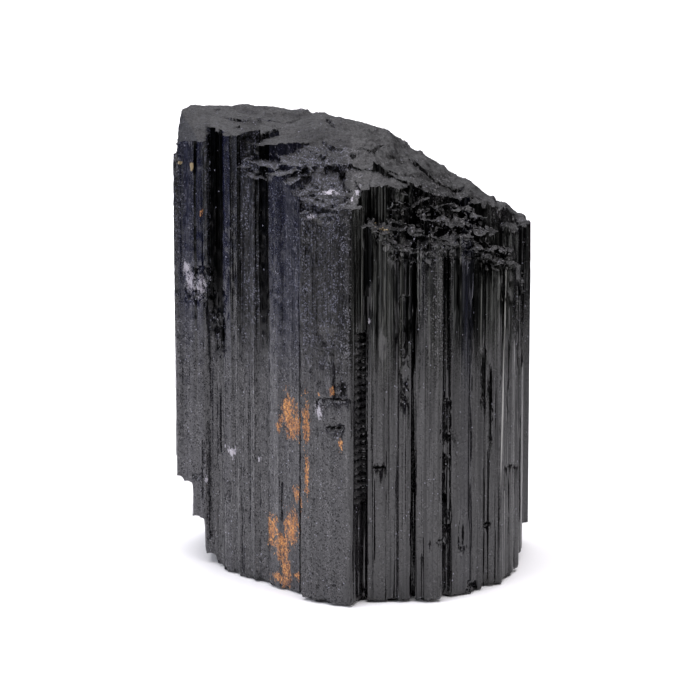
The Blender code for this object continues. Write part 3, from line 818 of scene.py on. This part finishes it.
class Material:
    """A node material whose nodes are made by one method."""

    def __init__(self, name):
        self.material = bpy.data.materials.new(name)
        self.material.use_nodes = True
        self.nodes = self.material.node_tree.nodes
        self.links = self.material.node_tree.links
        self.shader = self.nodes["Principled BSDF"]

    def feed(self, socket, value):
        """Link a value to a socket, or set it."""
        if isinstance(value, Value):
            self.links.new(value.socket, socket)
        else:
            socket.default_value = value

    def node(self, kind, settings=(), inputs=(), output=0):
        """A node with its settings and inputs, and the value of one of its outputs."""
        node = self.nodes.new(kind)
        for name, value in dict(settings).items():
            setattr(node, name, value)
        named = inputs.items() if isinstance(inputs, dict) else enumerate(inputs)
        for key, value in named:
            self.feed(node.inputs[key], value)
        return Value(self, node.outputs[output])

    def set(self, name, value):
        """Set or link one of the shader's own sockets."""
        self.feed(self.shader.inputs[name], value)

    def mix(self, factor, first, second):
        """A mix of two colours."""
        return self.node("ShaderNodeMix", {"data_type": "RGBA"},
                         {"Factor": factor, "A": first, "B": second}, "Result")

    def vector(self, operation, *values):
        """A Vector Math node."""
        return self.node("ShaderNodeVectorMath", {"operation": operation}, values)

    def scaled(self, vector, factor):
        """A vector times a number."""
        return self.node("ShaderNodeVectorMath", {"operation": "SCALE"},
                         {"Vector": vector, "Scale": factor})

    def length(self, vector):
        """A vector's length."""
        return self.node("ShaderNodeVectorMath", {"operation": "LENGTH"}, (vector,), "Value")

    def part(self, vector, axis):
        """One of a vector's three numbers."""
        return self.node("ShaderNodeSeparateXYZ", {}, (vector,), output=axis)


class Tourmaline(Material):
    """Black, glossy prisms and a dull, grainy break. Its places are in millimetres."""

    def __init__(self, plain):
        super().__init__("black_tourmaline")
        self.plain = plain
        self.place = self.scaled(self.node("ShaderNodeTexCoord", output="Object"), 1.0 / MM)
        self.x, self.y, self.z = (self.part(self.place, axis) for axis in range(3))
        self.normal = self.node("ShaderNodeNewGeometry", output="Normal")
        self.find_patterns()
        self.find_areas()
        self.tilt_facets()
        self.colour = self.mix(self.broken, self.prism_colour(), self.break_colour())
        self.add_dust_and_glints()
        self.add_painted_glint_lines()
        self.add_stains()
        self.add_painted_highlight()
        # Painted shade: where dark is 1, the surface is black and metallic, so it shows neither lit
        # colour nor reflection.
        dark = self.painted_shade_mask()
        self.set("Base Color", self.mix(dark, self.colour, PURE_BLACK))
        self.set("Metallic", dark)
        self.set("Roughness", self.broken * 0.45 + self.grainy * 0.16 + self.left * 0.09
                 + self.stain * 0.4 + self.part(self.broad, 0) * 0.06 + 0.08)
        self.set("IOR", 1.63)

    def lay(self, factor, colour):
        """Lay a colour on the colours so far."""
        self.colour = self.mix(factor, self.colour, colour)

    def texture(self, kind, scale, settings=(), inputs=(), output=0):
        """A texture that has as many bumps in a millimetre as its scale says."""
        place = self.vector("MULTIPLY", self.place, scale)
        return self.node(kind, settings, {"Vector": place, "Scale": 1.0, **dict(inputs)}, output)

    def noise(self, scale, detail=3.0, roughness=0.7, distortion=0.0):
        """A noise texture's value."""
        return self.texture("ShaderNodeTexNoise", scale, inputs={
            "Detail": detail, "Roughness": roughness, "Distortion": distortion})

    def facets(self, scale):
        """A random direction for each facet, from -0.5 to 0.5 along each axis."""
        colour = self.texture("ShaderNodeTexVoronoi", scale, output="Color")
        return self.vector("SUBTRACT", colour, (0.5, 0.5, 0.5))

    def across(self, place_x, bands):
        """The colour and the strength of the band that a point is in."""
        low, high = cad_box[0][0] / MM, cad_box[1][0] / MM
        part = (place_x - low) * (1.0 / (high - low))
        colour = self.node("ShaderNodeValToRGB", {}, {"Fac": part})
        ramp = colour.socket.node.color_ramp
        ramp.interpolation = "CONSTANT"
        for number, (left, tint, strength) in enumerate(bands):
            place = min(max(((left - AXIS_ACROSS) * STEP - low) / (high - low), 0.0), 1.0)
            if number > 1:
                ramp.elements.new(place)
            ramp.elements[number].position = place
            ramp.elements[number].color = tint[:3] + (strength,)
        return colour, Value(self, colour.socket.node.outputs["Alpha"])

    def spots(self, spots, ragged):
        """Spots with ragged rims: 1 inside them and 0 outside."""
        masks = []
        for across, down, half_width, half_height in spots:
            way = self.vector("SUBTRACT", self.place, tuple(self.plain.seen(across, down)))
            size = (half_width * STEP, SPOT_DEPTH, half_height * STEP_UP)
            length = self.length(self.vector("DIVIDE", way, size))
            masks.append(1.0 - (length + ragged).step(0.74, 0.98))
        return highest(*masks)

    def find_patterns(self):
        """The patterns that several finishes share."""
        self.broad = self.facets((1.5, 1.5, 0.024))
        self.thin = self.facets((3.8, 3.8, 0.050))
        self.flecks = self.facets((5.0, 5.0, 4.2))
        self.chance = self.part(self.flecks, 0) + 0.5
        self.crumble = self.noise((2.3, 2.3, 2.3), 5.0, 0.75)
        self.wander = self.noise((0.35, 0.35, 0.06)) - 0.5
        self.rise = self.noise((0.24, 0.34, 0.24), 5.0, 0.7)
        self.smear = self.noise((1.7, 1.7, 0.9), 6.0, 0.8)
        self.blot = self.noise((0.6, 0.6, 0.33))

    def find_areas(self):
        """Where each kind of surface is: 1 inside and 0 outside."""
        x, y, z = self.x, self.y, self.z
        coarse = self.noise((0.9, 0.9, 0.9), 3.0, 0.6)
        self.broken = (self.part(self.normal, 2) + (coarse - 0.5) * 0.5).step(0.30, 0.60)
        self.side = 1.0 - self.broken
        self.front = (y * -1.0).step(-12.0, -4.0)
        self.high = z.step(40.0, 60.0)
        self.low = 1.0 - self.high
        self.left = 1.0 - x.step(-3.0, 1.0)
        self.right = x.step(-0.6, -0.4)
        self.set_back = z.step(62.0, 67.0) * y.step(-20.5, -15.5) * (1.0 - x.step(30.8, 31.4))
        self.rubble = self.front * x.step(4.0, 8.0) * (1.0 - z.step(80.0, 83.0))
        self.slope = self.front * (1.0 - z.step(86.8, 87.6)) * (1.0 - self.rubble)
        self.slope = self.slope * (1.0 - (x + (self.rise - 0.5) * 24.0).step(-3.0, 5.0))
        # The bevel facet at the top left, which gets painted shade in the break colour and the
        # grit.
        self.bevel = (x + y * 0.2615).step(-30.2, -30.7) * z.step(85.0, 87.0)
        bands = [(left, BLACK, grain) for left, grain in GRAIN_BANDS]
        grain = self.across(x + self.wander, bands)[1]
        self.grainy = self.front * (grain * self.high + self.low * (self.left * 0.25 + 0.20))
        self.grainy = self.grainy + (1.0 - self.front) * 0.35

    def tilt_facets(self):
        """Tilt the fine facets and the grains, and roughen the break."""
        strips = self.vector("ADD", self.scaled(self.broad, 0.35), self.scaled(self.thin, 0.55))
        strips = self.scaled(self.vector("MULTIPLY", strips, (1.0, 1.0, 0.03)), self.side)
        grains = self.vector("MULTIPLY", self.flecks, (1.0, 1.0, 0.7))
        grains = self.scaled(grains, self.grainy * 0.30 + self.broken * 0.55)
        tilted = self.vector("ADD", self.normal, self.vector("ADD", strips, grains))
        ridged = self.noise((0.42, 0.9, 0.9), 4.0, 0.65, 0.8) * self.broken * 3.2
        height = self.crumble * (self.broken + self.grainy * 0.30 + 0.03) + ridged
        self.set("Normal", self.node("ShaderNodeBump", {}, {
            "Strength": 0.7, "Distance": 0.2 * MM, "Height": height,
            "Normal": self.vector("NORMALIZE", tilted)}))

    def prism_colour(self):
        """The colour of the prisms, in upright bands on the upper walls."""
        place_x = self.x + self.wander
        # The ramps also give each band's strength of painted shade.
        left_colour, self.left_shade = self.across(place_x, LEFT_BANDS)
        right_colour, self.right_shade = self.across(place_x, RIGHT_BANDS)
        upper = self.mix(self.right, left_colour, right_colour)
        lower = self.mix(self.left, LOW_RIGHT_COLOUR, LOW_LEFT_COLOUR)
        return self.mix(self.front * (self.high * 0.85 + 0.15), lower, upper)

    def break_colour(self):
        """The colour of the break: grey rims and darker hollows, a darker slope, and painted shade
        in the low parts of the bump relief, on the loose rubble and on the bevel facet.
        """
        # Painted shade where the bump relief of the break is low.
        crumb_shade = self.crumble.step(0.60, 0.40) * (self.slope * 0.3 + 0.6)
        specks = self.part(self.flecks, 2).step(0.0, 0.5) * 0.55
        rims = self.rise.step(0.30, 0.66) * (1.0 - self.x.step(-6.0, 12.0) * 0.55)
        # The bevel and the rubble are painted darker: painted shade.
        layers = [
            (rims, RIM_COLOUR), (crumb_shade, PAINTED_CRUMB_SHADE_COLOUR), (self.slope * 0.45, SLOPE_COLOUR),
            (specks, SPECK_COLOUR), (self.bevel * 0.8, PAINTED_BEVEL_SHADE_COLOUR), (self.rubble * 0.7, BLACK),
        ]
        colour = HOLLOW_COLOUR
        for amount, layer in layers:
            colour = self.mix(amount, colour, layer)
        return colour

    def add_dust_and_glints(self):
        """Lay pale specks on the grainy parts, partly real and partly painted glints of tiny
        facets, and a few painted glints.
        """
        cluster = self.noise((0.5, 0.5, 0.26)).step(0.40, 0.62)
        amount = self.grainy * (self.high * 0.85 + 0.15) * self.side
        amount = amount + (self.rubble * 0.5 + self.slope * 0.8) * self.broken + self.broken * 0.12
        amount = amount + (self.left * 0.16 + 0.14) * self.low * self.side * self.front + 0.015
        # Pale specks: partly real, partly painted glints of tiny facets.
        self.dust_and_glints = self.chance.joined("POWER", 6.0) * amount * (cluster * 0.7 + 0.3) * 2.5
        self.lay(self.dust_and_glints, self.mix(self.left * self.high, DUST_AND_GLINT_COLOUR, BLUE_DUST_AND_GLINT_COLOUR))
        # Painted glints: a few light specks.
        self.painted_glint = (self.chance + amount * cluster * 0.03).step(0.9995, 1.0)
        self.lay(self.painted_glint, PAINTED_GLINT_COLOUR)

    def add_painted_glint_lines(self):
        """Draw painted glints down the upper right walls: fine light streaks and wider ones that
        stand for reflections on prism edges.
        """
        glint_threads = self.part(self.thin, 1).step(0.34, 0.40) * self.wander.step(-0.12, 0.02)
        glint_threads = glint_threads * self.front * (1.0 - self.left) * self.side * self.high
        self.lay(glint_threads * 0.6, PAINTED_GLINT_THREAD_COLOUR)
        edges = [(LEFT_BANDS[0][0], BLACK, 0.0)]
        for middle, width, strength in PAINTED_GLINT_LINES:
            edges += [(middle - width / 2, BLACK, strength), (middle + width / 2, BLACK, 0.0)]
        glint_lines = self.across(self.x + self.wander * 0.5, edges)[1] * self.z.step(44.0, 56.0)
        glint_lines = glint_lines * (1.0 - self.set_back * 0.8) * self.front * self.side
        self.glint_lines = glint_lines * self.wander.step(-0.16, 0.04)
        self.lay(self.glint_lines, PAINTED_GLINT_LINE_COLOUR)

    def add_stains(self):
        """Lay on the stains, the pale spots (white flecks, and painted glints and highlights) and
        the fibres.
        """
        dull, orange, light = STAIN_COLOURS
        grain = self.noise((3.8, 3.8, 2.0), 3.0, 0.7, 1.2)
        self.stain = self.spots(STAINS, (self.smear - 0.5) * 4.2 + (self.blot - 0.46) * 3.0)
        self.stain = self.stain * (grain.step(0.43, 0.51) * 0.90 + 0.10)
        stain_colour = self.mix(self.blot.step(0.40, 0.62), dull, orange)
        stain_colour = self.mix(grain.step(0.50, 0.66), stain_colour, light)
        self.lay(self.stain, stain_colour)
        # Pale spots: white mineral flecks, and painted glints and highlights.
        self.pale = self.spots(PALE_FLECKS_AND_GLINTS, (self.smear - 0.47) * 6.0) * 0.8
        self.lay(self.pale, self.mix(self.smear, *PALE_FLECK_AND_GLINT_COLOURS))
        self.fibre = self.spots(FIBRES, (self.smear - 0.5) * 2.5)
        self.lay(self.fibre * 0.6, FIBRE_COLOUR)

    def add_painted_highlight(self):
        """Draw the painted highlight: a pale line on the right that stands for a ridge mirroring a
        lamp.
        """
        place = self.plain.seen(*PAINTED_HIGHLIGHT_LINE)
        way = (self.x - place.x - (self.z - place.z) * PAINTED_HIGHLIGHT_LEAN).joined("ABSOLUTE")
        bottom, top = PAINTED_HIGHLIGHT_ENDS
        line = (1.0 - way.step(0.08, 0.22)) * self.z.step(*bottom) * (1.0 - self.z.step(*top))
        self.painted_highlight = line * self.front * (self.part(self.normal, 1) * -1.0).step(0.45, 0.65)
        self.lay(self.painted_highlight * 0.8, PAINTED_HIGHLIGHT_COLOUR)

    def painted_shade_mask(self):
        """How much painted shade each point has, as a black metallic finish that blanks lit colour
        and reflection: dark bands, streaks, cracks, pits and grit, which stand for shade and for
        dark surroundings mirrored.
        """
        settings = {"feature": "DISTANCE_TO_EDGE"}
        # Painted shade in fine cracks along the prisms.
        edge = self.texture("ShaderNodeTexVoronoi", (1.1, 1.1, 0.02), settings)
        cracks = 1.0 - edge.step(0.01, 0.05)
        cracks = cracks * self.noise((0.7, 0.7, 0.07), 2.0, 0.6).step(0.54, 0.68)
        cracks = cracks * self.side * (0.8 - self.left * 0.55) * (self.high * 0.5 + 0.5)
        # Painted shade in the upright bands, in random stripes, and on the set-back walls of the
        # upper right: it stands for dark surroundings mirrored and for shade where walls are set
        # back.
        stripes = self.part(self.broad, 1) * 0.9 + self.part(self.thin, 2) * 0.9 + 0.02
        bands = self.left_shade * (1.0 - self.right) + self.right_shade * self.right
        bands = bands + stripes.step(0.0, 0.1) * (self.right * 0.35 + 0.20)
        bands = bands + self.right * self.set_back * 0.30
        bands = bands.joined("MINIMUM", 0.92) * self.front * self.side * (self.high * 0.95 + 0.05)
        # Painted shade in small pits on the grainy walls and the lower walls.
        pits = self.part(self.flecks, 1).step(0.20, 0.46) * self.side
        pits = pits * (self.grainy * self.left * 0.75 + self.low * 0.45)
        # Painted shade on the break: among its grit, on the bevel facet, and in the low parts of
        # the rubble's bump relief.
        grit = self.part(self.flecks, 2).step(-0.4, 0.5) * 0.40 + self.bevel * 0.15 + 0.05
        grit = (grit + self.rubble * self.crumble.step(0.58, 0.42) * 0.45) * self.broken
        # Painted shade in upright streaks on the lower right walls, which dims what they mirror.
        streaks = self.part(self.thin, 0).step(0.0, 0.5) * 0.30
        streaks = streaks + self.part(self.broad, 2).step(0.1, 0.5) * 0.20
        streaks = streaks * self.low * (1.0 - self.left) * self.side
        # Painted shade in the listed pits and cracks.
        pit_shade = self.spots(PIT_SHADE_SPOTS, (self.smear - 0.5) * 2.0) * 0.95
        marked = highest(self.stain, self.pale, self.painted_highlight, self.fibre)
        bare = (1.0 - marked) * (1.0 - self.glint_lines) * (1.0 - highest(self.dust_and_glints, self.painted_glint))
        return highest(cracks, bands, pits, grit, streaks, pit_shade) * bare


def pale_material(name, shade, right_shade, far_light=0.0):
    """A dull, pale finish, which can be darker to the right, and lit from within far away."""
    look = Material(name)
    place = look.node("ShaderNodeTexCoord", output="Object")
    colours = [(tone, tone, tone, 1.0) for tone in (shade, right_shade)]
    look.set("Base Color", look.mix(look.part(place, 0).step(0.02, 0.13), *colours))
    if far_light:
        far = look.length(place).step(0.5, 1.7)
        look.set("Emission Color", look.mix(far, PURE_BLACK, PURE_WHITE))
        look.set("Emission Strength", far_light)
        look.material.cycles.emission_sampling = "NONE"
    look.set("Roughness", 0.9)
    look.set("Specular IOR Level", 0.0)
    return look.material


# ---- the studio

def make_camera():
    """The camera, at the height and distance of the view."""
    lens = bpy.data.cameras.new("camera")
    lens.sensor_width = SENSOR
    lens.lens = SENSOR / 2 / (VIEW_HALF_WIDTH / VIEW_DISTANCE)
    lens.clip_start = 0.01
    lens.clip_end = 20.0
    camera = bpy.data.objects.new("camera", lens)
    camera.location = VIEW_TARGET + VIEW_BACK * VIEW_DISTANCE
    camera.rotation_euler = (math.pi / 2 - VIEW_ELEVATION, 0.0, 0.0)
    bpy.context.scene.collection.objects.link(camera)
    bpy.context.scene.camera = camera


def make_floor():
    """A pale floor, and the round white table top that the crystal mirrors."""
    deselect_all()
    bpy.ops.mesh.primitive_plane_add(size=FLOOR_SIZE, location=FLOOR_PLACE)
    floor = bpy.context.object
    floor.name = "floor"
    floor.data.materials.append(pale_material("pale_floor", 0.9, 0.9, 1.0))
    floor.visible_glossy = False
    floor.visible_diffuse = False
    bpy.ops.mesh.primitive_circle_add(vertices=96, radius=TABLE_RADIUS, fill_type="NGON",
                                      location=TABLE_PLACE)
    table = bpy.context.object
    table.scale.x = TABLE_STRETCH
    table.name = "table_top"
    # The table top is painted darker towards the right: painted shade, which dims the crystal's
    # reflection of it on that side.
    table.data.materials.append(pale_material("white_table", 0.9, 0.56))


def add_soft_light(name, place, aim, size, power, colour):
    """A soft light that points at a place."""
    light = bpy.data.lights.new(name, "AREA")
    light.shape = "RECTANGLE"
    light.size, light.size_y = size
    light.energy = power
    light.color = colour
    box = bpy.data.objects.new(name, light)
    box.location = place
    box.rotation_euler = (Vector(aim) - Vector(place)).to_track_quat("-Z", "Y").to_euler()
    box.visible_camera = False
    bpy.context.scene.collection.objects.link(box)
    return box


def add_glow(name, turn, start, width, brightness, colour):
    """A dim light that lies on the floor beside the table and shines up."""
    away = start + GLOW_LENGTH / 2
    angle = math.radians(turn)
    place = Vector((away * math.sin(angle), -away * math.cos(angle), 0.0))
    power = brightness * math.pi * width * GLOW_LENGTH
    glow = add_soft_light(name, place, place + UP, (width, GLOW_LENGTH), power, colour)
    glow.rotation_euler = (math.pi, 0.0, angle)
    glow.visible_diffuse = False


def light_studio():
    """A white surround for the eye, and soft lights above and at the sides."""
    world = bpy.data.worlds.new("surround")
    world.use_nodes = True
    background = world.node_tree.nodes["Background"]
    background.inputs["Color"].default_value = PURE_WHITE
    background.inputs["Strength"].default_value = 1.0
    world.cycles_visibility.glossy = False
    world.cycles_visibility.diffuse = False
    bpy.context.scene.world = world
    for light in SOFT_LIGHTS:
        add_soft_light(*light)
    for glow in GLOWS:
        add_glow(*glow)
    bpy.context.scene.view_settings.view_transform = "Standard"


def main():
    """Make the crystal, its finish and the studio."""
    make_camera()
    plain = PlainCrystal(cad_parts["crystal"])
    crystal = make_crystal(plain)
    crystal.data.materials.append(Tourmaline(plain).material)
    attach(crystal, "root")
    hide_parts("crystal")
    make_floor()
    light_studio()


main()
